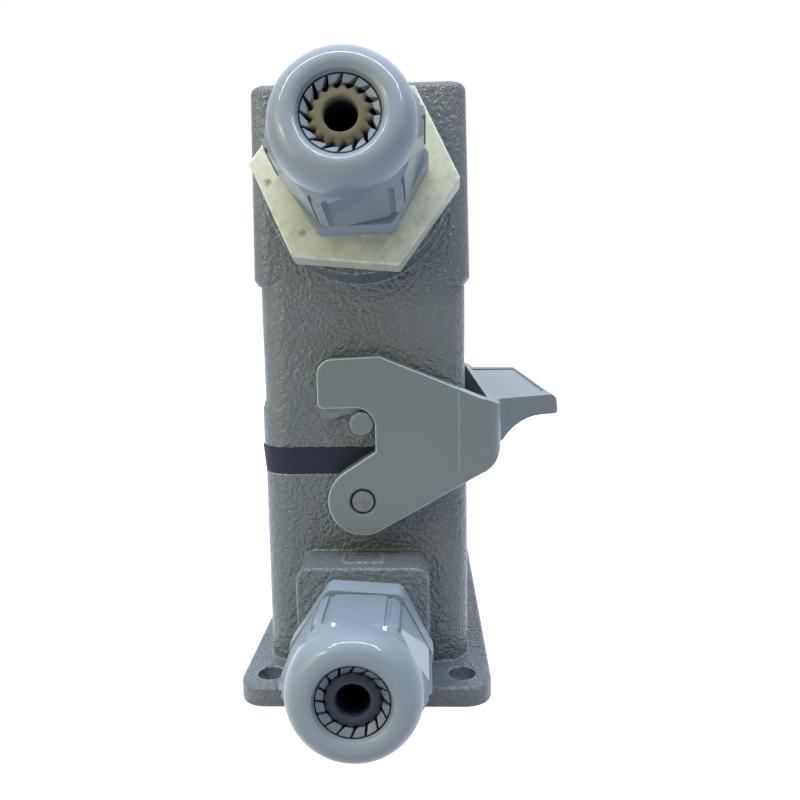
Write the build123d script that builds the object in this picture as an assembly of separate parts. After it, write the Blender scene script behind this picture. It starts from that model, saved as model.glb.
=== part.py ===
from build123d import *
from math import acos, atan2, cos, degrees, hypot, radians, sin
import os

# Heavy duty rectangular connector: a surface mounting housing, a hood with a
# raised cable entry, one locking lever, two cable glands and a mated pair of
# contact inserts. Millimetres, +Z up. The origin is the centre of the base
# bolt pattern on the underside; cables leave towards -Y, the lever is at +X.

# Housing walls
body_length = 93.6
body_width = 43.6
body_corner_radius = 6.4
body_wall = 3.0
floor_thickness = 3.0
housing_height = 45.7

# Base plate, wider and longer than the walls by its margins
plate_margin_x = 4.2
plate_margin_y = 11.2
plate_thickness = 4.1
plate_corner_radius = 5.6
plate_edge_radius = 0.7
bolt_edge_distance = 6.0
bolt_hole_diameter = 5.68

# Boss of the lower cable entry
boss_side_margin = 0.9
boss_top_margin = 15.0
boss_edge_radius = 2.6
boss_face_radius = 0.6
gland_floor_room = 0.15
mark_width = 8.8
mark_depth = 6.3
mark_line = 0.7
mark_relief = 0.25
mark_wall_distance = 1.8

# Gasket between the rims
gasket_height = 5.6
gasket_flare = 0.5
gasket_lip = 1.0
gasket_lip_width = 1.2

# Hood; the overhangs are each side of the housing's walls
hood_height = 73.2
hood_waist_inset = 0.4
hood_collar_overhang = 0.25
hood_collar_height = 7.6
hood_collar_slope = 2.4
hood_step_height = 33.4
hood_step_chamfer = 1.3
hood_block_overhang = 0.55
hood_block_draft = 1.0
hood_block_corner_radius = 4.0
hood_edge_radius = 1.7
hood_roof = 3.0

# Raised cable entry in the hood
entry_tilt = 12.0
entry_reach = 3.75
entry_drop = 19.8
entry_boss_radius = 18.5
entry_boss_depth = 11.0
entry_boss_wall = 1.0
spot_face_room = 0.65
spot_face_depth = 8.0

# Threads are plain cylinders with this much room
thread_room = 0.02

# Reducer from the large entry thread to the gland thread
reducer_thread_diameter = 32.0
reducer_thread_length = 8.6
reducer_flats = 34.8
reducer_corner_rise = 2.55
reducer_flange = 5.3
reducer_turn = -5.4
reducer_ring_width = 1.3

# Cable gland, measured outwards from its seat
gland_thread_diameter = 20.0
gland_thread_length = 8.5
gland_flats = 24.7
gland_corner_rise = 1.6
gland_flange = 5.5
gland_neck_diameter = 18.6
gland_neck_length = 7.1
gland_bore_step = 0.95
seal_seat_depth = 0.5
claw_wall = 1.5
claw_count = 16
claw_step = 0.85
claw_base = 5.0
claw_reach = 5.9
claw_tip_wall = 1.3
claw_tip_inner_diameter = 10.1
claw_slot = 0.38
claw_slot_rise = 1.0
claw_slot_reach = 8.0
claw_slot_inset = 1.5
claw_swirl = 30.0
lower_claw_gap = 0.45
upper_claw_gap = 1.3
seal_mouth = 0.35
seal_mouth_depth = 0.5
lower_seal_hole = 6.0
upper_seal_hole = 5.5
gland_ring_width = 1.2
ring_height = 1.2
lower_gland_turn = -4.1
upper_gland_turn = 1.4

# Cap nut of the gland
cap_gap = 0.7
cap_flats = 24.3
cap_corner_rise = 1.4
cap_hex_height = 13.4
cap_back_chamfer = 0.95
cap_front_room = 1.3
cap_dome_rise = 0.15
cap_dome_fullness = 0.72
cap_front_inset = 3.9
cap_opening_room = 0.6
cap_lip_depth = 0.56
cap_groove_offset = 5.45
cap_groove_width = 0.9
cap_groove_depth = 0.45
cap_running_room = 0.06
cap_thread_room = 0.4
cap_claw_room = 0.25
cap_overlap = 0.4
lower_cap_turn = -1.6
upper_cap_turn = 11.0

# Latch plates inside the arms, pivot pins and hood pegs
pivot_drop = 4.7
peg_rise = 16.0
latch_thickness = 1.5
latch_inset = 1.4
latch_reach = 17.0
latch_low = 3.0
latch_nose_rise = 0.65
latch_nose_flat = 2.35
latch_ramp_x = -4.3
latch_ramp_rise = 1.28
latch_cam_x = -2.2
latch_cam_room = 0.15
latch_slot_inset = 0.47
latch_radius = 0.7
latch_slot_radius = 1.5
latch_corner_radius = 2.0
pin_diameter = 4.95
pin_room = 0.06
pin_bore_chamfer = 0.25
pin_recess = 0.25
pivot_pad_radius = 4.6
pad_running_room = 0.08
inner_pad_radius = 3.6
inner_pad_depth = 1.2
peg_head_diameter = 4.9
peg_head_room = 0.15
peg_neck_diameter = 3.4
peg_shank_diameter = 4.0
peg_edge = 0.3
peg_pad_radius = 4.0
peg_pad_height = 0.5

# Locking lever: x from the pivot; rises above the peg, other heights above the pivot
arm_thickness = 4.5
arm_room = 0.8
pivot_lobe_radius = 7.1
throat_room = 0.3
throat_drop = 5.7
hook_rise = 3.4
hook_left_rise = 3.1
hook_radius = 4.0
hook_left = -8.75
hook_left_radius = 1.3
arm_top_left_rise = 13.05
arm_top_rise = 13.6
arm_top_x = 3.9
arm_top_radius = 3.2
bar_room = 3.35
bar_thickness = 2.6
bar_top = 19.4
bar_low = 8.0
bar_low_radius = 6.0
lever_corner_radius = 4.4
lever_inner_radius = 2.0
tab_reach = 13.4
tab_toe = 0.7
tab_toe_radius = 0.8
tab_root_inset = 11.1
tab_root_radius = 3.0
tab_tip_inset = 16.4
tab_tip_radius = 1.6
tab_corner_radius = 2.2
tab_rise = 0.3
tab_thickness = 4.0
tab_root_depth = 11.9
tab_root_reach = 10.3
panel_start = -0.8
panel_reach = 12.6
panel_inner_inset = 19.1
panel_outer_inset = 22.8
panel_depth = 0.35

# Contact inserts
insert_side_room = 1.8
insert_end_room = 1.55
insert_flange = 2.6
insert_corner_radius = 2.0
insert_screw_edge = 3.5
female_seat_drop = 12.3
mated_room = 5.0
row_spacing = 10.0
contact_pitch = 7.5
contact_row_end = 12.0
contact_block_end = 2.5
contact_block_side = 6.8
contact_block_height = 16.0
contact_block_radius = 1.5
skirt_wall = 1.8
skirt_room = 0.2
skirt_gap = 1.6
terminal_block_end = 1.0
terminal_block_side = 8.0
terminal_block_height = 11.0
contact_diameter = 3.5
contact_pin_diameter = 2.5
contact_pin_chamfer = 0.5
contact_play = 0.05
contact_pin_reach = 13.0
wire_bore_diameter = 2.2
wire_bore_depth = 7.0
contact_setback = 1.0
terminal_screw_diameter = 3.0
terminal_screw_depth = 0.6
terminal_screw_height = 5.5
screw_slot_width = 0.6
screw_slot_depth = 0.7
fixing_screw_diameter = 4.0
fixing_head_diameter = 7.0
fixing_head_height = 2.4
fixing_screw_length = 13.0
post_size = 9.3
post_radius = 2.0
hood_post_height = 15.0
earth_plate_width = 14.0
earth_plate_length = 6.6
earth_plate_thickness = 0.8
earth_plate_radius = 0.8
earth_screw_edge = 3.85
earth_screw_diameter = 4.0
earth_head_diameter = 6.4
earth_head_height = 2.2

# How far a piece is carried into its neighbour, or a cut past a face
overlap = 1.0

# Housing and hood sizes that follow
plate_width = body_width + 2 * plate_margin_x
plate_length = body_length + 2 * plate_margin_y
bolt_spacing_x = plate_width - 2 * bolt_edge_distance
bolt_spacing_y = plate_length - 2 * bolt_edge_distance
front = -body_length / 2
plate_front = -plate_length / 2
cavity_width = body_width - 2 * body_wall
cavity_length = body_length - 2 * body_wall
cavity_radius = body_corner_radius - body_wall
gasket_top = housing_height + gasket_height
hood_top = gasket_top + hood_height
hood_waist_width = body_width - 2 * hood_waist_inset
hood_collar_width = body_width + 2 * hood_collar_overhang
hood_block_width = body_width + 2 * hood_block_overhang
entry_face_y = front - entry_reach
entry_face_height = hood_top - entry_drop

# Gland sizes that follow
reducer_thread_radius = reducer_thread_diameter / 2
reducer_corner_radius = reducer_flats / 2 + reducer_corner_rise
spot_face_radius = reducer_corner_radius + spot_face_room
gland_thread_radius = gland_thread_diameter / 2
gland_corner_radius = gland_flats / 2 + gland_corner_rise
gland_neck_end = gland_flange + gland_neck_length
claw_diameter = gland_neck_diameter - 2 * claw_step
claw_bend = gland_neck_end + claw_base
claw_tip = claw_bend + claw_reach
claw_tip_outer_diameter = claw_tip_inner_diameter + 2 * claw_tip_wall
claw_slot_start = gland_neck_end + claw_slot_rise
seal_diameter = claw_diameter - 2 * claw_wall
seal_pocket_start = gland_flange - seal_seat_depth
gland_bore = seal_diameter - 2 * gland_bore_step
cap_start = gland_flange + cap_gap
cap_hex_end = cap_start + cap_hex_height
cap_length = claw_tip + cap_front_room
cap_mouth = cap_length - cap_lip_depth
cap_corner_radius = cap_flats / 2 + cap_corner_rise
cap_dome_radius = cap_flats / 2 + cap_dome_rise
cap_front_radius = cap_dome_radius - cap_front_inset
cap_opening_radius = claw_tip_outer_diameter / 2 + cap_opening_room
lower_entry_height = gland_corner_radius + gland_floor_room
boss_width = gland_flats + 2 * boss_side_margin
boss_height = lower_entry_height + boss_top_margin

# Lever sizes that follow
pivot_height = housing_height - pivot_drop
peg_height = pivot_height + peg_rise
arm_inner_y = body_length / 2 + arm_room
arm_outer_y = arm_inner_y + arm_thickness
throat_x = peg_head_diameter / 2 + throat_room
throat_low = peg_rise - throat_drop
hook_under = peg_rise + hook_rise
hook_under_left = peg_rise + hook_left_rise
arm_top_left = peg_rise + arm_top_left_rise
arm_top_right = peg_rise + arm_top_rise
bar_outer_x = hood_block_width / 2 + bar_room + bar_thickness
top_slope = (arm_top_right - bar_top) / (bar_outer_x - arm_top_x)
latch_cam = peg_rise + peg_neck_diameter / 2 + latch_cam_room
tab_tip_x = bar_outer_x + tab_reach

# Insert sizes that follow
insert_width = cavity_width - 2 * insert_side_room
insert_length = cavity_length - 2 * insert_end_room
insert_screw_x = insert_width - 2 * insert_screw_edge
insert_screw_y = insert_length - 2 * insert_screw_edge
earth_screw_y = insert_length / 2 - earth_screw_edge
contacts_per_row = int((insert_length - 2 * contact_row_end) / contact_pitch)
contact_block_length = contacts_per_row * contact_pitch + 2 * contact_block_end
contact_block_width = row_spacing + 2 * contact_block_side
terminal_block_length = contact_block_length + 2 * terminal_block_end
terminal_block_width = row_spacing + 2 * terminal_block_side
skirt_length = contact_block_length + 2 * (skirt_room + skirt_wall)
skirt_width = contact_block_width + 2 * (skirt_room + skirt_wall)
female_seat_height = housing_height - female_seat_drop
female_flange_top = female_seat_height + insert_flange
female_mating = female_flange_top + contact_block_height
female_wiring = female_seat_height - terminal_block_height
female_screw_level = female_seat_height - terminal_screw_height
male_flange_low = female_mating + mated_room
male_seat_height = male_flange_low + insert_flange
male_floor = female_mating + contact_setback
male_wiring = male_seat_height + terminal_block_height
male_screw_level = male_seat_height + terminal_screw_height

lower_seat = Plane(origin=(0, plate_front, lower_entry_height), x_dir=(1, 0, 0), z_dir=(0, -1, 0))
entry_direction = (0, -cos(radians(entry_tilt)), sin(radians(entry_tilt)))
entry_seat = Plane(origin=(0, entry_face_y, entry_face_height), x_dir=(1, 0, 0), z_dir=entry_direction)
upper_seat = entry_seat.offset(reducer_flange)


def prism(width, length, radius, low, high):
    """Upright block with rounded corners."""
    return Pos(0, 0, low) * extrude(RectangleRounded(width, length, radius), high - low)


def disc(radius, low, high):
    """Cylinder on the Z axis between two levels."""
    return Pos(0, 0, low) * extrude(Circle(radius), high - low)


def ring(outer, inner, low, high):
    return disc(outer, low, high) - disc(inner, low - 1, high + 1)


def turned(points):
    """Solid of revolution from radius and height pairs."""
    return revolve(Plane.XZ * make_face(Polyline(*points, close=True)), Axis.Z)


def closed_face(lines):
    """Flat face bounded by lines, arcs and curves that join end to end."""
    return make_face([edge for line in lines for edge in line.edges()])


def along_y(x, z, radius, start, end):
    """Cylinder parallel to Y between two y values."""
    low, high = min(start, end), max(start, end)
    seat = Plane(origin=(x, low, z), x_dir=(1, 0, 0), z_dir=(0, 1, 0))
    return seat * extrude(Circle(radius), high - low)


def hexagon(flats, corner_radius, turn, low, high):
    """Hexagonal prism with its corners turned to a radius."""
    outline = RegularPolygon(flats / 2, 6, major_radius=False, rotation=turn)
    return Pos(0, 0, low) * extrude(outline & Circle(corner_radius), high - low)


def four_corners(x_spacing, y_spacing):
    return [(i * x_spacing / 2, j * y_spacing / 2) for i in (-1, 1) for j in (-1, 1)]


def both_ends(solid):
    """A piece at the front end and its twin at the rear end."""
    return [solid, mirror(solid, Plane.XZ)]


def corner_posts(low, high):
    """Square posts cast into the four inner corners."""
    inside_walls = prism(cavity_width + body_wall, cavity_length + body_wall, cavity_radius + body_wall / 2, low, high)
    grown = post_size + post_radius
    post = extrude(RectangleRounded(grown, grown, post_radius), high - low)
    posts = []
    for x, y in four_corners(2, 2):
        middle_x = x * ((cavity_width - grown) / 2 + post_radius)
        middle_y = y * ((cavity_length - grown) / 2 + post_radius)
        posts.append(Pos(middle_x, middle_y, low) * post & inside_walls)
    return posts


def fixing_holes(low, high):
    radius = fixing_screw_diameter / 2 + thread_room
    return [Pos(x, y, 0) * disc(radius, low, high) for x, y in four_corners(insert_screw_x, insert_screw_y)]


def base_housing():
    """Casting with the bolted plate, the walls and the lower cable entry."""
    plate = prism(plate_width, plate_length, plate_corner_radius, 0, plate_thickness)
    plate = fillet(plate.faces().sort_by(Axis.Z)[-1].edges(), plate_edge_radius)
    walls = prism(body_width, body_length, body_corner_radius, 0, housing_height)
    reach = front - plate_front + body_wall
    boss = Pos(0, plate_front + reach / 2, boss_height / 2) * Box(boss_width, reach, boss_height)
    top_edges = boss.edges().filter_by(Axis.Y).group_by(Axis.Z)[-1]
    boss = fillet(top_edges, boss_edge_radius)
    boss = fillet(boss.faces().sort_by(Axis.Y)[0].edges().filter_by(lambda e: e.center().Z > 1), boss_face_radius)
    solid = plate + walls + boss
    pad_end = front - arm_room + pad_running_room
    solid = solid + both_ends(along_y(0, pivot_height, pivot_pad_radius, front, pad_end))
    solid = solid - prism(cavity_width, cavity_length, cavity_radius, floor_thickness, housing_height + 1)
    solid = solid + corner_posts(floor_thickness, female_seat_height)
    inner_face = front + body_wall
    inner_pad = along_y(0, pivot_height, inner_pad_radius, inner_face, inner_face + inner_pad_depth)
    solid = solid + both_ends(inner_pad)
    pin_hole = along_y(0, pivot_height, pin_diameter / 2, front - arm_room, inner_face + inner_pad_depth)
    solid = solid - both_ends(pin_hole)
    solid = solid - fixing_holes(female_seat_height - fixing_screw_length, female_seat_height + 1)
    for x, y in four_corners(bolt_spacing_x, bolt_spacing_y):
        solid = solid - Pos(x, y, 0) * disc(bolt_hole_diameter / 2, -1, plate_thickness + 1)
    entry = disc(gland_thread_radius + thread_room, -reach - 1, 1)
    entry = entry + disc(gland_thread_radius + gland_ring_width, -ring_height, 1)
    solid = solid - lower_seat * entry
    return solid + cast_mark()


def cast_mark():
    """Raised empty frame on top of the lower cable boss."""
    middle_y = front - mark_depth / 2 - mark_wall_distance
    outer = Rectangle(mark_width, mark_depth)
    inner = Rectangle(mark_width - 2 * mark_line, mark_depth - 2 * mark_line)
    frame = extrude(outer - inner, 2 * mark_relief)
    return Pos(0, middle_y, boss_height - mark_relief) * frame


def base_gasket():
    """Rubber ring that flares towards the hood and has lips inside both rims."""
    flare_angle = degrees(atan2(gasket_flare, gasket_height))
    outline = RectangleRounded(body_width, body_length, body_corner_radius)
    band = Pos(0, 0, housing_height) * extrude(outline, gasket_height, taper=-flare_angle)
    lip = prism(cavity_width, cavity_length, cavity_radius, housing_height - gasket_lip, gasket_top + gasket_lip)
    inside = prism(cavity_width - 2 * gasket_lip_width, cavity_length - 2 * gasket_lip_width,
                   cavity_radius - gasket_lip_width, housing_height - gasket_lip - 1, gasket_top + gasket_lip + 1)
    return band + lip - inside


def hood_outside():
    """Collar, waist and wide block; their end walls lie in one plane."""
    collar = prism(hood_collar_width, body_length, body_corner_radius, gasket_top,
                   gasket_top + hood_collar_height + hood_collar_slope)
    collar_ease = (hood_collar_width - hood_waist_width) / 2
    collar_top = collar.faces().sort_by(Axis.Z)[-1]
    collar = chamfer(collar_top.edges(), collar_ease, hood_collar_slope, reference=collar_top)
    step = gasket_top + hood_step_height
    outline = RectangleRounded(hood_block_width, body_length, hood_block_corner_radius)
    block = Pos(0, 0, step) * extrude(outline, hood_top - step, taper=hood_block_draft)
    block = fillet(block.faces().sort_by(Axis.Z)[-1].edges(), hood_edge_radius)
    step_ease = (hood_block_width - hood_waist_width) / 2
    block_low = block.faces().sort_by(Axis.Z)[0]
    block = chamfer(block_low.edges(), step_ease, hood_step_chamfer, reference=block_low)
    waist = prism(hood_waist_width, body_length, body_corner_radius, gasket_top, step + hood_step_chamfer)
    return collar + waist + block


def hood():
    """Casting with the raised entry, hollow from below."""
    solid = hood_outside()
    pad = along_y(0, peg_height, peg_pad_radius, front + 1, front - peg_pad_height)
    solid = solid + both_ends(pad)
    solid = solid + entry_seat * disc(entry_boss_radius, -entry_boss_depth, 0)
    solid = solid - prism(cavity_width, cavity_length, cavity_radius, gasket_top - 1, hood_top - hood_roof)
    boss_inside = entry_seat * disc(entry_boss_radius - entry_boss_wall, -entry_boss_depth, -entry_boss_wall)
    solid = solid + (boss_inside & prism(body_width - body_wall, body_length - body_wall, body_wall,
                                         gasket_top, hood_top - overlap))
    solid = solid + corner_posts(male_seat_height, male_seat_height + hood_post_height)
    inner_face = front + body_wall
    solid = solid + both_ends(along_y(0, peg_height, inner_pad_radius, inner_face, inner_face + inner_pad_depth))
    peg_hole = along_y(0, peg_height, peg_shank_diameter / 2, front - peg_pad_height - 1,
                       inner_face + inner_pad_depth)
    solid = solid - both_ends(peg_hole)
    solid = solid - fixing_holes(male_seat_height - 1, male_seat_height + fixing_screw_length)
    entry = disc(reducer_thread_radius + thread_room, -entry_boss_depth - 4, 1)
    entry = entry + disc(reducer_thread_radius + reducer_ring_width, -ring_height, 1)
    entry = entry + disc(spot_face_radius, 0, spot_face_depth)
    return solid - entry_seat * entry


def locking_pegs():
    """Turned pegs pressed into the hood, waisted where the latch plates run."""
    seat = front - peg_pad_height
    waist_end = -(arm_inner_y + latch_thickness + peg_head_room)
    inner_end = front + body_wall + inner_pad_depth
    peg = along_y(0, peg_height, peg_shank_diameter / 2, inner_end, seat)
    peg = peg + along_y(0, peg_height, peg_neck_diameter / 2, seat, waist_end)
    head = along_y(0, peg_height, peg_head_diameter / 2, waist_end, -arm_outer_y)
    head = chamfer(head.edges().sort_by(Axis.Y)[0], peg_edge)
    return both_ends(peg + head)


def pivot_pins():
    inner_end = front + body_wall + inner_pad_depth
    pin = along_y(0, pivot_height, pin_diameter / 2, inner_end, -arm_outer_y + pin_recess)
    pin = chamfer(pin.edges().sort_by(Axis.Y)[0], peg_edge)
    return both_ends(pin)


def touch_point(x, z, radius, side):
    """Where the line from a point touches the circle about the pivot."""
    angle = atan2(z, x) + side * acos(radius / hypot(x, z))
    return (radius * cos(angle), radius * sin(angle))


def rounded(outline, corners):
    """Round the corners of a flat outline, each given by its point and radius."""
    for point, radius in corners:
        nearest = outline.vertices().sort_by_distance((point[0], point[1], 0))[0]
        outline = fillet(nearest, radius)
    return outline


def arm_outline():
    """Side view of the lever about its pivot."""
    throat = (throat_x, throat_low)
    hook = (throat_x, hook_under)
    tip = (hook_left, hook_under_left)
    top_left = (hook_left, arm_top_left)
    top_right = (arm_top_x, arm_top_right)
    shoulder = (bar_outer_x, bar_top)
    heel = (bar_outer_x, bar_low)
    low_touch = touch_point(*heel, pivot_lobe_radius, -1)
    left_touch = touch_point(*throat, pivot_lobe_radius, 1)
    points = [throat, hook, tip, top_left, top_right, shoulder, heel, low_touch, left_touch]
    outline = make_face(Polyline(*points, close=True))
    outline = rounded(outline, [(hook, hook_radius), (tip, hook_left_radius), (top_left, arm_top_radius),
                                (top_right, latch_radius), (shoulder, latch_radius), (heel, bar_low_radius)])
    return outline + Circle(pivot_lobe_radius)


def latch_outline():
    """Side view of the steel plate, with the nose that passes under the peg."""
    lobe = pivot_lobe_radius - latch_inset
    slot_x = throat_x + latch_slot_inset
    nose = (hook_left, peg_rise + latch_nose_rise)
    nose_end = (hook_left + latch_nose_flat, peg_rise + latch_nose_rise)
    ramp = (latch_ramp_x, peg_rise + latch_ramp_rise)
    cam = (latch_cam_x, latch_cam)
    cam_end = (slot_x, latch_cam)
    slot_low = (slot_x, throat_low)
    left_touch = touch_point(*slot_low, lobe, 1)
    right_low = (latch_reach, latch_low)
    right_top = (latch_reach, arm_top_right - top_slope * (latch_reach - arm_top_x) - latch_inset)
    top_right = (arm_top_x, arm_top_right - latch_inset)
    top_left = (hook_left, arm_top_left - arm_top_radius)
    top_corner = (hook_left + arm_top_radius, arm_top_left - latch_inset)
    low_touch = touch_point(*right_low, lobe, -1)
    points = [nose, nose_end, ramp, cam, cam_end, slot_low, left_touch, low_touch, right_low, right_top,
              top_right, top_corner, top_left]
    outline = make_face(Polyline(*points, close=True))
    outline = rounded(outline, [(nose, latch_radius), (cam_end, latch_slot_radius),
                                (right_low, latch_corner_radius), (right_top, latch_corner_radius)])
    return outline + Circle(lobe)


side_view = Plane(origin=(0, 0, pivot_height), x_dir=(1, 0, 0), z_dir=(0, -1, 0))


def side_extrude(outline, start, end):
    """Extrude a side view between two distances in front of the middle."""
    return side_view.offset(start) * extrude(outline, end - start)


def latch_plate():
    """Front latch plate, in the plane of the front arm."""
    plate = side_extrude(latch_outline(), arm_inner_y, arm_inner_y + latch_thickness)
    return plate - pivot_bore()


def tab():
    """Thumb tab that widens from its tip into the bar."""
    back = bar_outer_x - overlap
    far = tab_tip_x + tab_toe
    top, low = bar_top, bar_top - tab_thickness
    root_low = bar_top - tab_root_depth
    under = (bar_outer_x + tab_root_reach, low)
    tip, toe = (tab_tip_x, top + tab_rise), (far, low)
    lines = [Line((back, top), tip), Line(tip, toe), Line(toe, under),
             TangentArc(under, (bar_outer_x, root_low), tangent=(-1, 0)),
             Line((bar_outer_x, root_low), (back, root_low)), Line((back, root_low), (back, top))]
    side = rounded(closed_face(lines), [(tip, tab_tip_radius), (toe, tab_toe_radius)])
    root_half, tip_half = arm_outer_y - tab_root_inset, arm_outer_y - tab_tip_inset
    half = [(back, arm_inner_y), (bar_outer_x, arm_inner_y), (bar_outer_x, root_half), (far, tip_half)]
    plan = make_face(Polyline(*half, *[(x, -y) for x, y in reversed(half)], close=True))
    for end in (1, -1):
        plan = rounded(plan, [((far, end * tip_half), tab_corner_radius),
                              ((bar_outer_x, end * root_half), tab_root_radius)])
    body = side_extrude(side, -arm_outer_y, arm_outer_y)
    return body & Pos(0, 0, pivot_height) * extrude(plan, 2 * bar_top)


def tab_panel():
    """Shallow plain panel let into the top of the tab."""
    slope = tab_rise / (tab_reach + overlap)
    level = bar_top + slope * (panel_start + overlap)
    inner_half, outer_half = arm_outer_y - panel_inner_inset, arm_outer_y - panel_outer_inset
    plan = make_face(Polyline((0, inner_half), (panel_reach, outer_half), (panel_reach, -outer_half),
                              (0, -inner_half), close=True))
    place = Pos(bar_outer_x + panel_start, 0, pivot_height + level) * Rot(0, -degrees(atan2(slope, 1)), 0)
    return place * Pos(0, 0, -panel_depth) * extrude(plan, 2 * overlap)


def pivot_bore():
    """Bore and countersunk mouth in the front arm and its latch plate."""
    radius = pin_diameter / 2 + pin_room
    mouth = Plane(origin=(0, -arm_outer_y, pivot_height), x_dir=(1, 0, 0), z_dir=(0, 1, 0)) * Cone(
        radius + pin_bore_chamfer, radius, 2 * pin_bore_chamfer, align=(Align.CENTER, Align.CENTER, Align.MIN))
    return along_y(0, pivot_height, radius, overlap - arm_inner_y, -arm_outer_y - overlap) + mouth


def locking_lever():
    """One moulding: two hooked arms, the bar and the thumb tab."""
    solid = side_extrude(arm_outline(), -arm_outer_y, arm_outer_y)
    long_side = 4 * bar_outer_x
    plan = RectangleRounded(long_side, 2 * arm_outer_y, lever_corner_radius)
    solid = solid & Pos(bar_outer_x - long_side / 2, 0, 0) * extrude(plan, hood_top)
    inner = RectangleRounded(long_side, 2 * arm_inner_y, lever_inner_radius)
    inner_x = bar_outer_x - bar_thickness - long_side / 2
    solid = solid - Pos(inner_x, 0, 0) * extrude(inner, hood_top)
    solid = solid + tab() - tab_panel()
    recess = side_extrude(latch_outline(), arm_inner_y - overlap, arm_inner_y + latch_thickness)
    return solid - both_ends(recess) - both_ends(pivot_bore())


def claw_slot_outline(gap):
    """Slot between two claws, wider towards the cable."""
    half = [(-claw_slot_inset, gap / 2), (claw_slot_inset / 2, claw_slot / 2), (claw_slot_reach, claw_slot / 2)]
    return make_face(Polyline(*half, *[(x, -y) for x, y in reversed(half)], close=True))


def gland_body(turn, gap):
    """Threaded stem, hexagon, cap thread and the ring of claws."""
    solid = hexagon(gland_flats, gland_corner_radius, turn, 0, gland_flange)
    solid = solid + disc(gland_thread_radius, -gland_thread_length, 0)
    solid = solid + disc(gland_neck_diameter / 2, 0, gland_neck_end)
    claws = turned([
        (seal_diameter / 2, gland_neck_end - 1), (claw_diameter / 2, gland_neck_end - 1),
        (claw_diameter / 2, claw_bend), (claw_tip_outer_diameter / 2, claw_tip),
        (claw_tip_inner_diameter / 2, claw_tip), (seal_diameter / 2, claw_bend),
    ])
    slot = Pos(0, 0, claw_slot_start) * extrude(claw_slot_outline(gap), claw_tip)
    middle = (claw_tip_inner_diameter + claw_tip_wall) / 2
    for k in range(claw_count):
        claws = claws - Rot(0, 0, 360 / claw_count * k) * Pos(middle, 0, 0) * Rot(0, 0, -claw_swirl) * slot
    solid = solid + claws
    solid = solid - disc(gland_bore / 2, -gland_thread_length - 1, seal_pocket_start + 1)
    return solid - disc(seal_diameter / 2, seal_pocket_start, claw_bend)


def seal_insert(hole):
    """Rubber sleeve that grips the cable, with a small funnel at its mouth."""
    return turned([
        (hole / 2, seal_pocket_start), (seal_diameter / 2, seal_pocket_start), (seal_diameter / 2, claw_bend),
        (claw_tip_inner_diameter / 2, claw_tip), (hole / 2 + seal_mouth, claw_tip),
        (hole / 2, claw_tip - seal_mouth_depth),
    ])


def sealing_ring(thread_radius, width):
    """Flat ring at the root of a thread, in the counterbore of its seat."""
    return ring(thread_radius + width, thread_radius, -ring_height, 0)


def cap_hexagon(turn):
    """Hexagon with eased corners and a pair of grooves in each face."""
    solid = hexagon(cap_flats, cap_corner_radius, turn, cap_start, cap_hex_end)
    envelope = turned([
        (0, cap_start), (cap_corner_radius - cap_back_chamfer, cap_start),
        (cap_corner_radius, cap_start + cap_back_chamfer), (cap_corner_radius, cap_hex_end - cap_corner_rise),
        (cap_corner_radius - cap_corner_rise, cap_hex_end), (0, cap_hex_end),
    ])
    solid = solid & envelope
    groove = Box(cap_groove_width, 2 * cap_groove_depth, 2 * cap_hex_height)
    middle = (cap_start + cap_hex_end) / 2
    for k in range(6):
        for side in (-1, 1):
            place = Rot(0, 0, turn + 60 * k) * Pos(side * cap_groove_offset, cap_flats / 2, middle)
            solid = solid - place * groove
    return solid


def cap_dome():
    """Round front of the cap nut, up to the edge of its mouth."""
    start = cap_hex_end - cap_overlap
    back = (cap_dome_radius, start)
    bulge = (cap_front_radius + cap_dome_fullness * (cap_dome_radius - cap_front_radius),
             cap_hex_end + cap_dome_fullness * (cap_length - cap_hex_end))
    front_point = (cap_front_radius, cap_length)
    edge = (cap_opening_radius, cap_mouth)
    lines = [
        Spline(back, bulge, front_point, tangents=[(0, 1), (-1, 0)]),
        TangentArc(front_point, edge, tangent=(-1, 0)),
        Polyline(edge, (0, cap_mouth), (0, start), back),
    ]
    return revolve(Plane.XZ * closed_face(lines), Axis.Z)


def cap_nut(turn):
    """Cap nut with its thread, and the cone that closes the claws."""
    bore = gland_neck_diameter / 2 + cap_running_room
    thread_end = gland_neck_end + cap_thread_room
    waist = claw_diameter / 2 + cap_claw_room
    throat = claw_tip_outer_diameter / 2 + cap_claw_room
    inside = turned([
        (0, cap_start - 1), (bore, cap_start - 1), (bore, thread_end), (waist, thread_end),
        (waist, claw_bend), (throat, claw_tip), (cap_opening_radius, cap_mouth), (0, cap_mouth),
    ])
    return cap_hexagon(turn) + cap_dome() - inside


def reducer():
    """Hexagonal reducer between the large entry and the gland."""
    solid = hexagon(reducer_flats, reducer_corner_radius, reducer_turn, 0, reducer_flange)
    solid = solid + disc(reducer_thread_radius, -reducer_thread_length, 0)
    solid = solid - disc(gland_thread_radius + thread_room, -reducer_thread_length - 1, reducer_flange + 1)
    ring_seat = disc(gland_thread_radius + gland_ring_width, reducer_flange - ring_height, reducer_flange + 1)
    return solid - ring_seat


def contact_places():
    """Contact positions as row side, x and y."""
    middle = (contacts_per_row - 1) / 2
    return [(side, side * row_spacing / 2, (k - middle) * contact_pitch)
            for side in (-1, 1) for k in range(contacts_per_row)]


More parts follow.
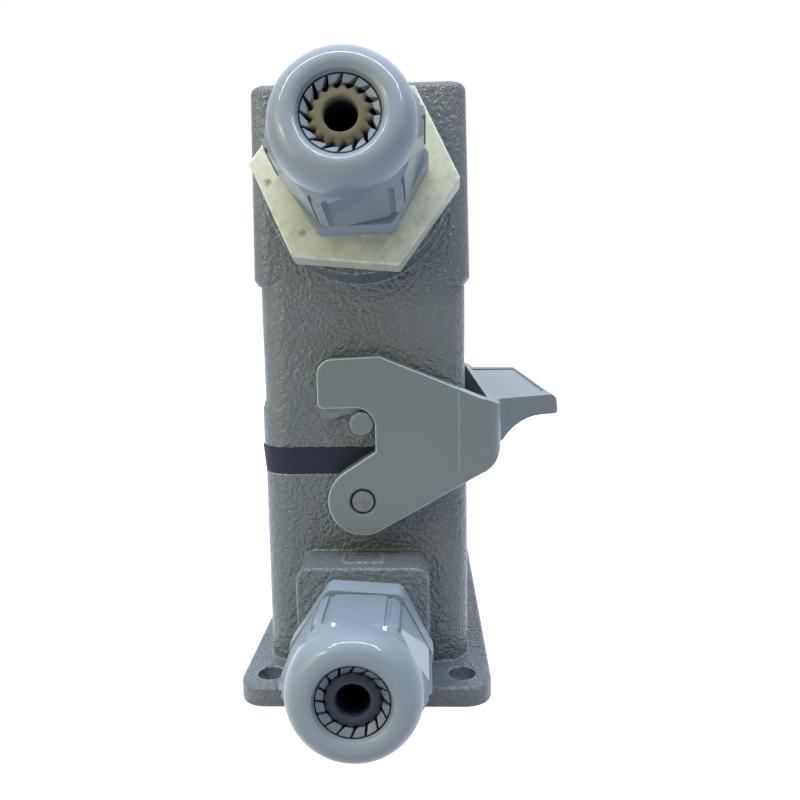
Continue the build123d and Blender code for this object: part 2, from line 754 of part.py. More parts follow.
def insert_body(flange_low, wiring):
    """Flange and terminal block of an insert; wiring is the level of the terminal end."""
    flange = prism(insert_width, insert_length, insert_corner_radius, flange_low, flange_low + insert_flange)
    low, high = sorted((wiring, flange_low + overlap))
    solid = flange + prism(terminal_block_width, terminal_block_length, contact_block_radius, low, high)
    for x, y in four_corners(insert_screw_x, insert_screw_y):
        solid = solid - Pos(x, y, 0) * disc(fixing_screw_diameter / 2 + thread_room, flange_low - 1,
                                            flange_low + insert_flange + 1)
    for y in (-earth_screw_y, earth_screw_y):
        solid = solid - Pos(0, y, 0) * disc(earth_screw_diameter / 2 + thread_room, flange_low - 1,
                                            flange_low + insert_flange + 1)
    return solid


def contact_bores(solid, low, high, screw_level):
    """Cut the contact chambers and the side bores of the terminal screws."""
    for side, x, y in contact_places():
        solid = solid - Pos(x, y, 0) * disc(contact_diameter / 2, low - 1, high + 1)
        screw_bore = extrude(Circle(terminal_screw_diameter / 2), 20)
        place = Plane(origin=(x, y, screw_level), x_dir=(0, 1, 0), z_dir=(side, 0, 0))
        solid = solid - place * screw_bore
    return solid


def female_insert():
    solid = insert_body(female_seat_height, female_wiring)
    solid = solid + prism(contact_block_width, contact_block_length, contact_block_radius,
                          female_flange_top - 1, female_mating)
    return contact_bores(solid, female_wiring, female_mating, female_screw_level)


def male_insert():
    solid = insert_body(male_flange_low, male_wiring)
    skirt = prism(skirt_width, skirt_length, contact_block_radius + skirt_wall,
                  female_flange_top + skirt_gap, male_flange_low + 1)
    pocket = prism(skirt_width - 2 * skirt_wall, skirt_length - 2 * skirt_wall, contact_block_radius,
                   female_flange_top, male_floor)
    return contact_bores(solid + skirt - pocket, male_floor, male_wiring, male_screw_level)


def female_contacts():
    """Sockets with a blind mating bore above and a wire bore below."""
    low = female_wiring + contact_setback
    high = female_mating - contact_setback
    socket = disc(contact_diameter / 2, low, high)
    pin_radius = contact_pin_diameter / 2 + contact_play
    socket = socket - disc(pin_radius, male_floor - contact_pin_reach - 1, high + 1)
    socket = socket - disc(wire_bore_diameter / 2, low - 1, low + wire_bore_depth)
    return [Pos(x, y, 0) * socket for side, x, y in contact_places()]


def male_contacts():
    """Pins with a thicker root in the moulding and a wire bore above."""
    high = male_wiring - contact_setback
    pin_low = male_floor - contact_pin_reach
    pin = disc(contact_pin_diameter / 2, pin_low, male_floor)
    pin = chamfer(pin.edges().sort_by(Axis.Z)[0], contact_pin_chamfer)
    pin = pin + disc(contact_diameter / 2, male_floor, high)
    pin = pin - disc(wire_bore_diameter / 2, high - wire_bore_depth, high + 1)
    return [Pos(x, y, 0) * pin for side, x, y in contact_places()]


def terminal_screws(level):
    """Slotted grub screws that enter each contact from the long sides."""
    screws = []
    start = contact_diameter / 2
    end = (terminal_block_width - row_spacing) / 2 - terminal_screw_depth
    screw = disc(terminal_screw_diameter / 2, start, end)
    slot = Box(2 * terminal_screw_diameter, screw_slot_width, 2 * screw_slot_depth)
    screw = screw - Pos(0, 0, end) * slot
    for side, x, y in contact_places():
        place = Plane(origin=(x, y, level), x_dir=(0, 1, 0), z_dir=(side, 0, 0))
        screws.append(place * screw)
    return screws


def slotted_screw(diameter, length, head_diameter, head_height):
    """Pan head screw with its head above Z = 0."""
    screw = disc(diameter / 2, -length, 0) + disc(head_diameter / 2, 0, head_height)
    return screw - Pos(0, 0, head_height) * Box(2 * head_diameter, screw_slot_width * 1.6, 2 * screw_slot_depth)


def fixing_screws(level, up):
    """Four insert screws; up is 1 for heads on top and -1 for heads below."""
    screw = slotted_screw(fixing_screw_diameter, fixing_screw_length, fixing_head_diameter, fixing_head_height)
    if up < 0:
        screw = Rot(180, 0, 0) * screw
    return [Pos(x, y, level) * screw for x, y in four_corners(insert_screw_x, insert_screw_y)]


def earth_plates(level, up):
    low = min(level, level + up * earth_plate_thickness)
    outline = RectangleRounded(earth_plate_width, earth_plate_length, earth_plate_radius)
    plate = extrude(outline, earth_plate_thickness)
    plate = plate - disc(earth_screw_diameter / 2 + thread_room, -1, 2)
    return [Pos(0, y, low) * plate for y in (-earth_screw_y, earth_screw_y)]


def earth_screws(level, up):
    length = insert_flange + earth_plate_thickness
    screw = slotted_screw(earth_screw_diameter, length, earth_head_diameter, earth_head_height)
    if up < 0:
        screw = Rot(180, 0, 0) * screw
    height = level + up * earth_plate_thickness
    return [Pos(0, y, height) * screw for y in (-earth_screw_y, earth_screw_y)]


def write_node(name, shape):
    """Write one named piece, or a group of like pieces, as a STEP file."""
    pieces = shape if isinstance(shape, list) else [shape]
    solids = [solid for piece in pieces for solid in piece.solids()]
    body = solids[0] if len(solids) == 1 else Compound(children=solids)
    body.label = name
    export_step(body, "parts/" + name + ".step")


def main():
    os.makedirs("parts", exist_ok=True)
    write_node("base_housing", base_housing())
    write_node("base_gasket", base_gasket())
    write_node("hood", hood())
    write_node("locking_pegs", locking_pegs())
    write_node("lever_pivot_pins", pivot_pins())
    write_node("locking_lever", locking_lever())
    front_latch = latch_plate()
    write_node("latch_plate_front", front_latch)
    write_node("latch_plate_rear", mirror(front_latch, Plane.XZ))
    write_node("entry_reducer", entry_seat * reducer())
    write_node("reducer_sealing_ring", entry_seat * sealing_ring(reducer_thread_radius, reducer_ring_width))
    glands = [
        ("lower", lower_seat, lower_gland_turn, lower_claw_gap, lower_cap_turn, lower_seal_hole),
        ("upper", upper_seat, upper_gland_turn, upper_claw_gap, upper_cap_turn, upper_seal_hole),
    ]
    for name, seat, body_turn, gap, cap_turn, hole in glands:
        write_node(name + "_gland_body", seat * gland_body(body_turn, gap))
        write_node(name + "_gland_seal", seat * seal_insert(hole))
        write_node(name + "_gland_cap_nut", seat * cap_nut(cap_turn))
        write_node(name + "_gland_ring", seat * sealing_ring(gland_thread_radius, gland_ring_width))
    write_node("female_insert", female_insert())
    write_node("female_contacts", female_contacts())
    write_node("female_terminal_screws", terminal_screws(female_screw_level))
    write_node("female_fixing_screws", fixing_screws(female_flange_top, 1))
    write_node("female_earth_plates", earth_plates(female_flange_top, 1))
    write_node("female_earth_screws", earth_screws(female_flange_top, 1))
    write_node("male_insert", male_insert())
    write_node("male_contacts", male_contacts())
    write_node("male_terminal_screws", terminal_screws(male_screw_level))
    write_node("male_fixing_screws", fixing_screws(male_flange_low, -1))
    write_node("male_earth_plates", earth_plates(male_flange_low, -1))
    write_node("male_earth_screws", earth_screws(male_flange_low, -1))


main()
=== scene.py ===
from math import cos, pi, radians, sin

import bmesh
import bpy
from mathutils import Matrix, Vector

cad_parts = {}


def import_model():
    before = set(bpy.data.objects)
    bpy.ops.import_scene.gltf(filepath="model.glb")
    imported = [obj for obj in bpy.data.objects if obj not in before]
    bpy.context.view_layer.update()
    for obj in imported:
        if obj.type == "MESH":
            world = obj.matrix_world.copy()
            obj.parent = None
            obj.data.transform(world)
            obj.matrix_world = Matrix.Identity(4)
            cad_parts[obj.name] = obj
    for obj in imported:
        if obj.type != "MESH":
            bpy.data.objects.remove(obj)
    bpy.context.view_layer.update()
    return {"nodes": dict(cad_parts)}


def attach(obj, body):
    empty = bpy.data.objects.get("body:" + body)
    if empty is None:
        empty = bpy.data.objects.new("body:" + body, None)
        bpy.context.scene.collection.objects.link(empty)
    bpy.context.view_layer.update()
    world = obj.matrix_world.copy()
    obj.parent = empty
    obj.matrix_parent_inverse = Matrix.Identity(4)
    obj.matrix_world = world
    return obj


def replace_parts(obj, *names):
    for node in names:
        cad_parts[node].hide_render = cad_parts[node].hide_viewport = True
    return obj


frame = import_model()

scene = bpy.context.scene
MM = 0.001


def linear(code):
    """Colour values as written, 0 to 255, turned to linear light."""
    out = []
    for value in code:
        c = value / 255
        out.append(c / 12.92 if c <= 0.04045 else ((c + 0.055) / 1.055) ** 2.4)
    return (out[0], out[1], out[2], 1.0)


class Nodes:
    """Short way to add and link shader nodes."""

    def __init__(self, name):
        self.material = bpy.data.materials.new(name)
        self.material.use_nodes = True
        self.tree = self.material.node_tree
        self.tree.nodes.clear()
        self.place = self.add("ShaderNodeTexCoord").outputs["Object"]

    def add(self, kind, **settings):
        node = self.tree.nodes.new(kind)
        for key, value in settings.items():
            setattr(node, key, value)
        return node

    def link(self, source, target):
        self.tree.links.new(source, target)

    def noise(self, scale, detail=2.0, rough=0.5, distort=0.0):
        """Noise with a scale in cycles per metre."""
        node = self.add("ShaderNodeTexNoise")
        node.inputs["Scale"].default_value = scale
        node.inputs["Detail"].default_value = detail
        node.inputs["Roughness"].default_value = rough
        node.inputs["Distortion"].default_value = distort
        self.link(self.place, node.inputs["Vector"])
        return node.outputs["Fac"]

    def ramp(self, source, stops):
        """Colour by value, from (value, colour) pairs."""
        node = self.add("ShaderNodeValToRGB")
        while len(node.color_ramp.elements) < len(stops):
            node.color_ramp.elements.new(0.5)
        for element, (place, colour) in zip(node.color_ramp.elements, stops):
            element.position = place
            element.color = colour if len(colour) == 4 else (*colour, 1.0)
        self.link(source, node.inputs["Fac"])
        return node.outputs["Color"]

    def range(self, source, low, high, to_low, to_high):
        """Value moved from one range to another, and held at its ends."""
        node = self.add("ShaderNodeMapRange")
        for key, value in (("From Min", low), ("From Max", high), ("To Min", to_low), ("To Max", to_high)):
            node.inputs[key].default_value = value
        self.link(source, node.inputs["Value"])
        return node.outputs["Result"]

    def mix(self, factor, first, second):
        """Mix of two colours; sockets 6, 7 and 2 are the node's colour sockets."""
        node = self.add("ShaderNodeMix", data_type="RGBA")
        self.put(factor, node.inputs["Factor"])
        self.put(first, node.inputs[6])
        self.put(second, node.inputs[7])
        return node.outputs[2]

    def math(self, kind, first, second=0.0):
        node = self.add("ShaderNodeMath", operation=kind)
        self.put(first, node.inputs[0])
        self.put(second, node.inputs[1])
        return node.outputs[0]

    def put(self, value, socket):
        """Links a socket, or sets a plain value."""
        if isinstance(value, bpy.types.NodeSocket):
            self.link(value, socket)
        else:
            socket.default_value = value

    def bump(self, height, distance, after=None):
        """Normal for a height, on top of another normal if one is given."""
        node = self.add("ShaderNodeBump")
        node.inputs["Strength"].default_value = 1.0
        node.inputs["Distance"].default_value = distance
        self.link(height, node.inputs["Height"])
        if after is not None:
            self.link(after, node.inputs["Normal"])
        return node.outputs["Normal"]

    def reach(self, axis):
        """How far a point lies along an axis."""
        node = self.add("ShaderNodeVectorMath", operation="DOT_PRODUCT")
        node.inputs[1].default_value = axis
        self.link(self.place, node.inputs[0])
        return node.outputs["Value"]

    def edges(self, radius):
        """Normal that softens sharp edges over this radius."""
        node = self.add("ShaderNodeBevel", samples=6)
        node.inputs["Radius"].default_value = radius
        return node.outputs["Normal"]

    def finish(self, colour, rough, normal, metal=0.0, specular=0.5, coat=0.0, coat_rough=0.1):
        shader = self.add("ShaderNodeBsdfPrincipled")
        self.put(colour, shader.inputs["Base Color"])
        self.put(rough, shader.inputs["Roughness"])
        shader.inputs["Metallic"].default_value = metal
        shader.inputs["Specular IOR Level"].default_value = specular
        shader.inputs["Coat Weight"].default_value = coat
        shader.inputs["Coat Roughness"].default_value = coat_rough
        self.link(normal, shader.inputs["Normal"])
        out = self.add("ShaderNodeOutputMaterial")
        self.link(shader.outputs["BSDF"], out.inputs["Surface"])
        return self.material


def powder_coat(name, tint, depth=0.44 * MM):
    """Orange-peel powder coat: soft bumps about a millimetre apart, with finer ones on them."""
    n = Nodes(name)
    bumps = n.noise(1150, detail=1.2, rough=0.4, distort=0.6)
    fine = n.noise(2600, detail=1.0, rough=0.5)
    broad = n.noise(120, detail=3.0, rough=0.55)
    height = n.math("ADD", bumps, n.math("MULTIPLY", fine, 0.16))
    light, dark = [c * 1.07 for c in tint[:3]], [c * 0.9 for c in tint[:3]]
    mottle = n.math("ADD", n.math("MULTIPLY", height, 0.5), n.math("MULTIPLY", broad, 0.5))
    colour = n.ramp(mottle, [(0.35, dark), (0.75, light)])
    # painted glints: rims and creases paler in small specks, on rims also paint worn thin
    turn = n.add("ShaderNodeVectorMath", operation="DOT_PRODUCT")
    n.link(n.edges(0.9 * MM), turn.inputs[0])
    n.link(n.add("ShaderNodeNewGeometry").outputs["Normal"], turn.inputs[1])
    rim = n.range(turn.outputs["Value"], 0.86, 0.985, 0.85, 0.0)
    glint_specks = n.range(n.noise(1500, detail=2.0, rough=0.6), 0.46, 0.6, 0.12, 1.0)
    colour = n.mix(n.math("MULTIPLY", rim, glint_specks), colour, linear((172, 180, 184)))
    rough = n.range(broad, 0.3, 0.7, 0.21, 0.29)
    return n.finish(colour, rough, n.bump(height, depth, after=n.edges(0.45 * MM)))


def moulded(name, tint, rough=0.35, grain=0.012 * MM, grain_scale=2600, variation=0.03, coat=0.0,
            coat_rough=0.05, mouth=None, shade=0.5):
    """Moulded plastic with a fine grain and slight flow marks; mouth paints shade inside a bore, the
    colour times shade.
    """
    n = Nodes(name)
    fine = n.noise(grain_scale, detail=3.0, rough=0.6)
    flow = n.noise(70, detail=3.0, rough=0.6, distort=0.8)
    light, dark = [c * (1 + variation) for c in tint[:3]], [c * (1 - variation) for c in tint[:3]]
    mottle = n.math("ADD", n.math("MULTIPLY", flow, 0.5), n.math("MULTIPLY", fine, 0.5))
    colour = n.ramp(mottle, [(0.36, dark), (0.64, light)])
    if mouth:
        axis, front = mouth
        # painted shade: darker towards the claws, from 9 mm to 3 mm behind the mouth
        depth = n.range(n.reach(axis), front - 9 * MM, front - 3 * MM, 0.0, 1.0)
        colour = n.mix(depth, colour, [c * shade for c in tint[:3]] + [1.0])
    roughness = n.range(n.math("ADD", fine, flow), 0.6, 1.4, rough - 0.04, rough + 0.06)
    return n.finish(colour, roughness, n.bump(fine, grain, after=n.edges(0.35 * MM)), coat=coat,
                    coat_rough=coat_rough)


def rubber(name, tint, rough=0.6, mouth=None):
    """Soft rubber; mouth gives the axis and the place on it behind which painted shade darkens the bore.
    """
    n = Nodes(name)
    fine = n.noise(1800, detail=4.0, rough=0.65)
    broad = n.noise(120, detail=2.0)
    colour = n.ramp(broad, [(0.3, [c * 0.85 for c in tint[:3]]), (0.7, [c * 1.12 for c in tint[:3]])])
    if mouth:
        axis, front = mouth
        # painted shade: dark navy deep in the bore, fading out towards the mouth
        depth = n.range(n.reach(axis), front - 1.6 * MM, front - 0.25 * MM, 0.0, 1.0)
        colour = n.mix(depth, linear((6, 8, 22)), colour)
    roughness = n.range(fine, 0.3, 0.7, rough - 0.08, rough + 0.08)
    return n.finish(colour, roughness, n.bump(fine, 0.02 * MM), specular=0.25)


def bare_metal(name, tint, rough=0.34):
    """Zinc plated or turned steel with fine lines and darker spots."""
    n = Nodes(name)
    fine = n.noise(5000, detail=3.0, rough=0.6)
    broad = n.noise(500, detail=3.0, rough=0.6)
    colour = n.ramp(broad, [(0.3, [c * 0.7 for c in tint[:3]]), (0.7, tint[:3])])
    roughness = n.range(fine, 0.3, 0.7, rough - 0.08, rough + 0.12)
    return n.finish(colour, roughness, n.bump(fine, 0.01 * MM), metal=1.0)


def aged_cream(name, tint, marks=()):
    """Yellowed plastic with faint stains, a few dark specks and the given dark marks (place, size)."""
    n = Nodes(name)
    fine = n.noise(2400, detail=3.0, rough=0.6)
    stain = n.noise(110, detail=4.0, rough=0.6, distort=0.6)
    yellow = [tint[0] * 1.0, tint[1] * 0.97, tint[2] * 0.84]
    colour = n.ramp(stain, [(0.3, [c * 0.8 for c in tint[:3]]), (0.5, tint[:3]), (0.68, yellow)])
    dirt = n.noise(420, detail=5.0, rough=0.65, distort=0.4)
    colour = n.mix(n.range(dirt, 0.48, 0.75, 0.0, 0.5), colour, linear((134, 128, 110)))
    speck = n.ramp(n.noise(1500, detail=1.0), [(0.755, (0, 0, 0)), (0.79, (1, 1, 1))])
    colour = n.mix(speck, colour, linear((92, 84, 64)))
    for place, size in marks:
        away = n.add("ShaderNodeVectorMath", operation="DISTANCE")
        n.link(n.place, away.inputs[0])
        away.inputs[1].default_value = place
        ragged = n.math("ADD", away.outputs["Value"], n.range(fine, 0.3, 0.7, -0.4 * size, 0.4 * size))
        colour = n.mix(n.range(ragged, 0.4 * size, size, 0.75, 0.0), colour, linear((96, 92, 76)))
    roughness = n.range(fine, 0.3, 0.7, 0.36, 0.5)
    return n.finish(colour, roughness, n.bump(fine, 0.012 * MM, after=n.edges(0.5 * MM)))


# the upper gland leans back by 12 degrees; painted shade darkens a bore behind its mouth, 23 mm in front
# of the seat
MOUTH = 23.0 * MM
UP_AXIS = (0, -cos(radians(12)), sin(radians(12)))
UP_SEAT = (0, -55.734 * MM, 105.802 * MM)
UP_FRONT = sum(a * b for a, b in zip(UP_AXIS, UP_SEAT)) + MOUTH
LOW_AXIS = (0, -1, 0)
LOW_SEAT = (0, -58.0 * MM, 14.1 * MM)
LOW_FRONT = 58.0 * MM + MOUTH

REDUCER_MARKS = (-16.25 * MM, -55.9 * MM, 103.8 * MM), (-9.6 * MM, -57.9 * MM, 94.3 * MM)
PIN_HEIGHT = 41 * MM
ARM_FACE = 52.05 * MM
CLAW_COUNT = 16

FINISHES = {
    "casting_grey": powder_coat("casting_grey", linear((98, 104, 105))),
    "peg_painted": powder_coat("peg_painted", linear((104, 109, 108)), depth=0.04 * MM),
    "gasket_rubber": rubber("gasket_rubber", linear((26, 32, 48))),
    "pin_steel": bare_metal("pin_steel", linear((104, 102, 104))),
    "latch_steel": bare_metal("latch_steel", linear((104, 105, 106))),
    "lever_grey": moulded("lever_grey", linear((108, 116, 114)), rough=0.36, grain=0.06 * MM,
                          grain_scale=1900, variation=0.06),
    # paler rounded edges: painted highlight with some wear; this finish also colours the lever's parting
    # lines
    "lever_grey_edge": moulded("lever_grey_edge", linear((166, 176, 180)), rough=0.3, grain=0.02 * MM,
                               grain_scale=3200),
    # paler hexagon edges: painted highlight with some wear
    "reducer_cream_edge": aged_cream("reducer_cream_edge", linear((214, 213, 196))),
    "gland_grey": moulded("gland_grey", linear((120, 129, 134)), rough=0.5, grain=0.0004 * MM,
                          coat=0.55, coat_rough=0.025),
    # gland bodies with painted shade on the claws in their mouths
    "gland_grey_low": moulded("gland_grey_low", linear((132, 142, 148)), rough=0.45, grain=0.0004 * MM,
                              coat=0.2, mouth=(LOW_AXIS, LOW_FRONT)),
    "gland_grey_up": moulded("gland_grey_up", linear((132, 142, 148)), rough=0.45, grain=0.0004 * MM,
                             coat=0.2, mouth=(UP_AXIS, UP_FRONT), shade=0.85),
    "reducer_cream": aged_cream("reducer_cream", linear((198, 198, 174)),
                                marks=[(place, 0.9 * MM) for place in REDUCER_MARKS]),
    "seal_dark": rubber("seal_dark", linear((44, 49, 62)), mouth=(LOW_AXIS, LOW_FRONT)),
    "seal_tan": rubber("seal_tan", linear((98, 92, 70)), mouth=(UP_AXIS, UP_FRONT)),
    "ring_rubber": rubber("ring_rubber", linear((40, 42, 48))),
    "insert_grey": moulded("insert_grey", linear((150, 152, 148)), rough=0.45),
    "contact_metal": bare_metal("contact_metal", linear((190, 188, 176))),
    "screw_steel": bare_metal("screw_steel", linear((170, 172, 174))),
}


def dress_nodes():
    """Give every carried-over node the finish of its slot."""
    for node in frame["nodes"].values():
        for slot in node.material_slots:
            slot.material = FINISHES[slot.material.name.split(".")[0]]


def add_piece(name, bm, body, finishes):
    """A new object from a bmesh, on its body and in its slot."""
    mesh = bpy.data.meshes.new(name)
    bm.to_mesh(mesh)
    bm.free()
    for finish in finishes:
        mesh.materials.append(FINISHES[finish])
    piece = bpy.data.objects.new(name, mesh)
    scene.collection.objects.link(piece)
    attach(piece, body)
    return piece


def moulded_piece(name, body, slot, finish=None, change=None, width=0.0, chosen=None):
    """The piece again, with a change to its form and with its chosen edges rounded and paler, a painted
    highlight with some wear.
    """
    node = frame["nodes"][name]
    bm = bmesh.new()
    bm.from_mesh(node.data)
    bm.transform(node.matrix_world)
    bmesh.ops.remove_doubles(bm, verts=bm.verts, dist=0.002 * MM)
    bmesh.ops.dissolve_degenerate(bm, edges=bm.edges, dist=0.002 * MM)
    if change:
        change(bm)
    if width:
        bmesh.ops.dissolve_limit(bm, angle_limit=radians(0.1), verts=bm.verts, edges=bm.edges,
                                 delimit={"NORMAL"})
        paired = [e for e in bm.edges if len(e.link_faces) == 2]
        sharp = [e for e in paired if e.calc_face_angle() > radians(40) and chosen(e)]
        made = bmesh.ops.bevel(bm, geom=sharp, offset=width, offset_type="OFFSET", segments=2, profile=0.5,
                               affect="EDGES", clamp_overlap=False)
        # bevel faces take the paler edge finish, a painted highlight with some wear
        for face in made["faces"]:
            face.material_index = 1
        bmesh.ops.triangulate(bm, faces=[f for f in bm.faces if len(f.verts) > 4])
    for face in bm.faces:
        face.smooth = True
    for edge in bm.edges:
        edge.smooth = len(edge.link_faces) == 2 and edge.calc_face_angle() < radians(36)
    finishes = [finish or slot] + ([slot + "_edge"] if width else [])
    piece = add_piece(name + "_moulded", bm, body, finishes)
    piece.modifiers.new("even_shade", "WEIGHTED_NORMAL").keep_sharp = True
    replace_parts(piece, name)


def arm_outline(edge):
    """Outline of the arms' outer faces, the pin holes apart."""
    for vert in edge.verts:
        at_pin = (vert.co - Vector((0, vert.co.y, PIN_HEIGHT))).length < 4 * MM
        if abs(vert.co.y) < ARM_FACE or at_pin:
            return False
    return True


def low_root(bm):
    """Ends the tab's root just above the rounded heel of the bar."""
    heel, bar_back, tab_half = 51.5 * MM, 27.2 * MM, 48.5 * MM
    for vert in bm.verts:
        if vert.co.x > bar_back and abs(vert.co.y) < tab_half and vert.co.z < heel:
            vert.co.z = heel - 0.25 * (heel - vert.co.z)


def hexagon_rim(edge):
    """Outline of the reducer's hexagon, front and back."""
    neck = 16 * MM
    return all(along(vert.co, UP_SEAT, UP_AXIS)[1] >= neck for vert in edge.verts)


def along(point, seat, axis):
    """Place of a point along a gland's axis and its distance from it."""
    reach = point - Vector(seat)
    s = reach.dot(Vector(axis))
    return s, (reach - s * Vector(axis)).length


def sunken_claws(seat, axis):
    """Slopes the claws' ends back towards the seal."""
    tips, rim = 23.4 * MM, 6.3 * MM

    def change(bm):
        for vert in bm.verts:
            s, r = along(vert.co, seat, axis)
            if s > tips and r < rim:
                vert.co -= Vector(axis) * 0.75 * (rim + 0.05 * MM - r)
    return change


def lobed_seal(name, seat, axis, hole, lobe, slot):
    """The seal with its front edge pressed out between the claws; sizes in millimetres."""
    axis, steps = Vector(axis), 192
    side = Vector((1, 0, 0))
    up = axis.cross(side)
    # distance from the axis, place along it, share of the lobes
    profile = [(hole, 5.0, 0), (hole, 22.5, 0), (hole + 0.12, 22.95, 0), (hole + 0.4, 23.1, 0),
               (3.9, 22.95, 0), (4.5, 22.75, 0.3), (4.9, 22.5, 1.0), (5.1, 22.0, 1.0), (5.2, 21.0, 0.3),
               (6.9, 17.6, 0), (6.9, 5.0, 0)]
    bm = bmesh.new()
    rings = []
    for r, s, share in profile:
        ring = []
        for i in range(steps):
            t = 2 * pi * i / steps
            reach = r + share * lobe * cos(CLAW_COUNT * t + radians(67))
            out = (side * cos(t) + up * sin(t)) * reach * MM
            ring.append(bm.verts.new(Vector(seat) + axis * s * MM + out))
        rings.append(ring)
    for first, second in zip(rings, rings[1:] + rings[:1]):
        for i in range(steps):
            k = (i + 1) % steps
            bm.faces.new((first[i], first[k], second[k], second[i])).smooth = True
    bmesh.ops.recalc_face_normals(bm, faces=bm.faces)
    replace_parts(add_piece(name + "_lobed", bm, "connector", [slot]), name)


def seam_lines():
    """The pale parting line across each arm of the lever."""
    size = Matrix.Diagonal((0.22 * MM, 0.08 * MM, 16.4 * MM, 1))
    bm = bmesh.new()
    for side in (-1, 1):
        place = Matrix.Translation((19.6 * MM, side * 52.1 * MM, 55.3 * MM))
        bmesh.ops.create_cube(bm, size=1.0, matrix=place @ size)
    add_piece("lever_seam_lines", bm, "lever", ["lever_grey_edge"])


def moulded_pieces():
    """Pieces that take the place of their plain solids, and the lever's parting lines."""
    moulded_piece("locking_lever", "lever", "lever_grey", change=low_root, width=0.26 * MM,
                  chosen=arm_outline)
    moulded_piece("entry_reducer", "connector", "reducer_cream", width=0.4 * MM, chosen=hexagon_rim)
    moulded_piece("lower_gland_body", "connector", "gland_grey", "gland_grey_low",
                  sunken_claws(LOW_SEAT, LOW_AXIS))
    moulded_piece("upper_gland_body", "connector", "gland_grey", "gland_grey_up",
                  sunken_claws(UP_SEAT, UP_AXIS))
    lobed_seal("lower_gland_seal", LOW_SEAT, LOW_AXIS, 3.0, 0.18, "seal_dark")
    lobed_seal("upper_gland_seal", UP_SEAT, UP_AXIS, 2.75, 0.45, "seal_tan")
    seam_lines()


def floor():
    """Pale floor that keeps the object's shadow and reads as white."""
    bm = bmesh.new()
    bmesh.ops.create_grid(bm, x_segments=2, y_segments=2, size=3.0)
    mesh = bpy.data.meshes.new("floor")
    bm.to_mesh(mesh)
    bm.free()
    piece = bpy.data.objects.new("floor", mesh)
    scene.collection.objects.link(piece)
    material = bpy.data.materials.new("floor_pale")
    material.use_nodes = True
    tree = material.node_tree
    tree.nodes.clear()
    plain = tree.nodes.new("ShaderNodeBsdfDiffuse")
    plain.inputs["Color"].default_value = (0.36, 0.36, 0.36, 1)
    glow = tree.nodes.new("ShaderNodeEmission")
    glow.inputs["Color"].default_value = (1, 1, 1, 1)
    glow.inputs["Strength"].default_value = 0.972
    both = tree.nodes.new("ShaderNodeAddShader")
    mix = tree.nodes.new("ShaderNodeMixShader")
    out = tree.nodes.new("ShaderNodeOutputMaterial")
    tree.links.new(plain.outputs[0], both.inputs[0])
    tree.links.new(glow.outputs[0], both.inputs[1])
    tree.links.new(seen_rays(tree), mix.inputs[0])
    tree.links.new(plain.outputs[0], mix.inputs[1])
    tree.links.new(both.outputs[0], mix.inputs[2])
    tree.links.new(mix.outputs[0], out.inputs["Surface"])
    piece.data.materials.append(material)
    piece.location.z = -0.00005


def seen_rays(tree):
    """1 for rays of the camera and for those that metal and glass send on."""
    path = tree.nodes.new("ShaderNodeLightPath")
    value = path.outputs["Is Camera Ray"]
    for name in ("Is Glossy Ray", "Is Transmission Ray"):
        larger = tree.nodes.new("ShaderNodeMath")
        larger.operation = "MAXIMUM"
        tree.links.new(value, larger.inputs[0])
        tree.links.new(path.outputs[name], larger.inputs[1])
        value = larger.outputs[0]
    return value


def world():
    """Even cool sky light; white where the camera or a reflection sees it."""
    w = bpy.data.worlds.new("studio")
    scene.world = w
    w.use_nodes = True
    tree = w.node_tree
    tree.nodes.clear()
    seen = tree.nodes.new("ShaderNodeBackground")
    seen.inputs["Color"].default_value = (1, 1, 1, 1)
    seen.inputs["Strength"].default_value = 1.0
    sky = tree.nodes.new("ShaderNodeBackground")
    sky.inputs["Color"].default_value = (0.6, 0.75, 1.0, 1)
    sky.inputs["Strength"].default_value = 0.1
    mix = tree.nodes.new("ShaderNodeMixShader")
    out = tree.nodes.new("ShaderNodeOutputWorld")
    tree.links.new(seen_rays(tree), mix.inputs[0])
    tree.links.new(sky.outputs[0], mix.inputs[1])
    tree.links.new(seen.outputs[0], mix.inputs[2])
    tree.links.new(mix.outputs[0], out.inputs["Surface"])


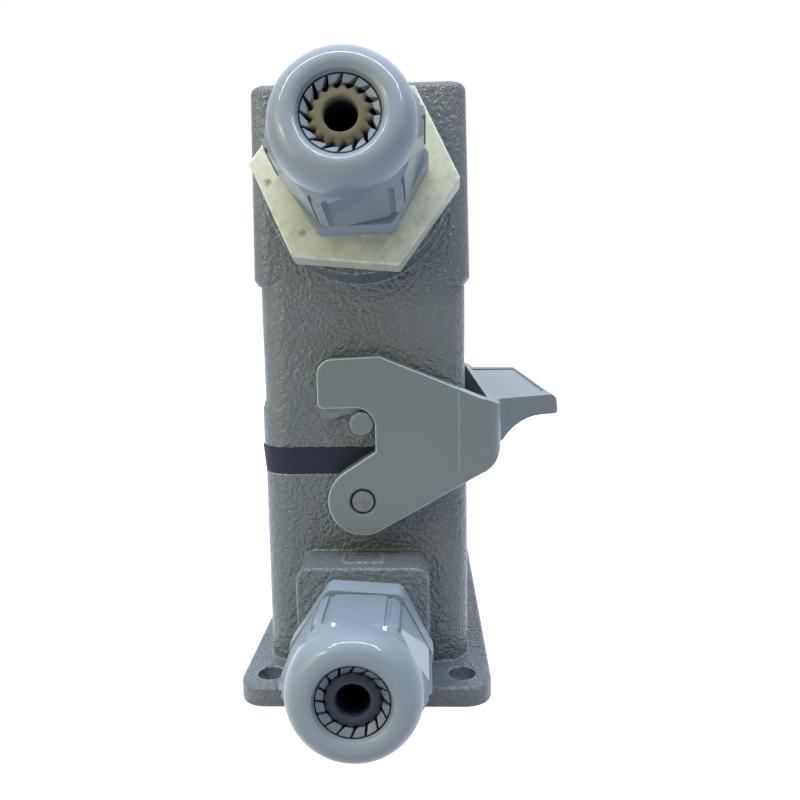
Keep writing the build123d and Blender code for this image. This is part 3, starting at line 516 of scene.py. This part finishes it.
def area_light(name, place, target, size, power, colour, size_y=None, mirrored=True):
    """Soft lamp that the camera does not see, and reflections only if it is mirrored."""
    data = bpy.data.lights.new(name, "AREA")
    data.shape = "RECTANGLE" if size_y else "SQUARE"
    data.size = size
    if size_y:
        data.size_y = size_y
    data.energy = power
    data.color = colour
    lamp = bpy.data.objects.new(name, data)
    lamp.location = place
    direction = Vector(target) - Vector(place)
    lamp.visible_camera = False
    lamp.visible_glossy = mirrored
    lamp.rotation_euler = direction.to_track_quat("-Z", "Y").to_euler()
    scene.collection.objects.link(lamp)


def lights():
    middle = (0, -0.05, 0.065)
    area_light("key", (-0.50, -0.40, 0.24), middle, 0.4, 1.15, (1.0, 0.91, 0.42))
    area_light("window", (-0.30, -0.36, 0.27), middle, 0.11, 0.22, (1.0, 0.95, 0.62), 0.07)
    area_light("top", (0.0, 0.35, 0.85), (0, 0.3, 0), 1.2, 33.0, (0.58, 0.70, 1.0), mirrored=False)
    area_light("strip", (0.0, -0.2365, 0.49), (0, -0.08, 0.06), 0.55, 1.7, (0.9, 0.95, 1.0), 0.03)
    for x in (-0.28, 0.28):
        area_light("strip_end", (x, -0.29, 0.46), (0, -0.08, 0.06), 0.03, 0.3, (0.9, 0.95, 1.0), 0.10)


def camera():
    """The photograph's view, fitted to the plate and the walls."""
    yaw, pitch, roll = -0.032, 0.129, -0.015
    forward = Vector((sin(yaw) * cos(pitch), cos(yaw) * cos(pitch), -sin(pitch)))
    right = Vector((cos(yaw), -sin(yaw), 0))
    up = right.cross(forward)
    right, up = cos(roll) * right + sin(roll) * up, -sin(roll) * right + cos(roll) * up
    data = bpy.data.cameras.new("camera")
    data.lens = 33.627
    data.sensor_width = 36.0
    data.clip_start, data.clip_end = 0.01, 20.0
    cam = bpy.data.objects.new("camera", data)
    turn = Matrix((right, up, -forward)).transposed().to_4x4()
    cam.matrix_world = Matrix.Translation(Vector((12.605, -199.902, 81.032)) * MM) @ turn
    scene.collection.objects.link(cam)
    scene.camera = cam


dress_nodes()
moulded_pieces()
floor()
world()
lights()
camera()
scene.view_settings.view_transform = "Standard"
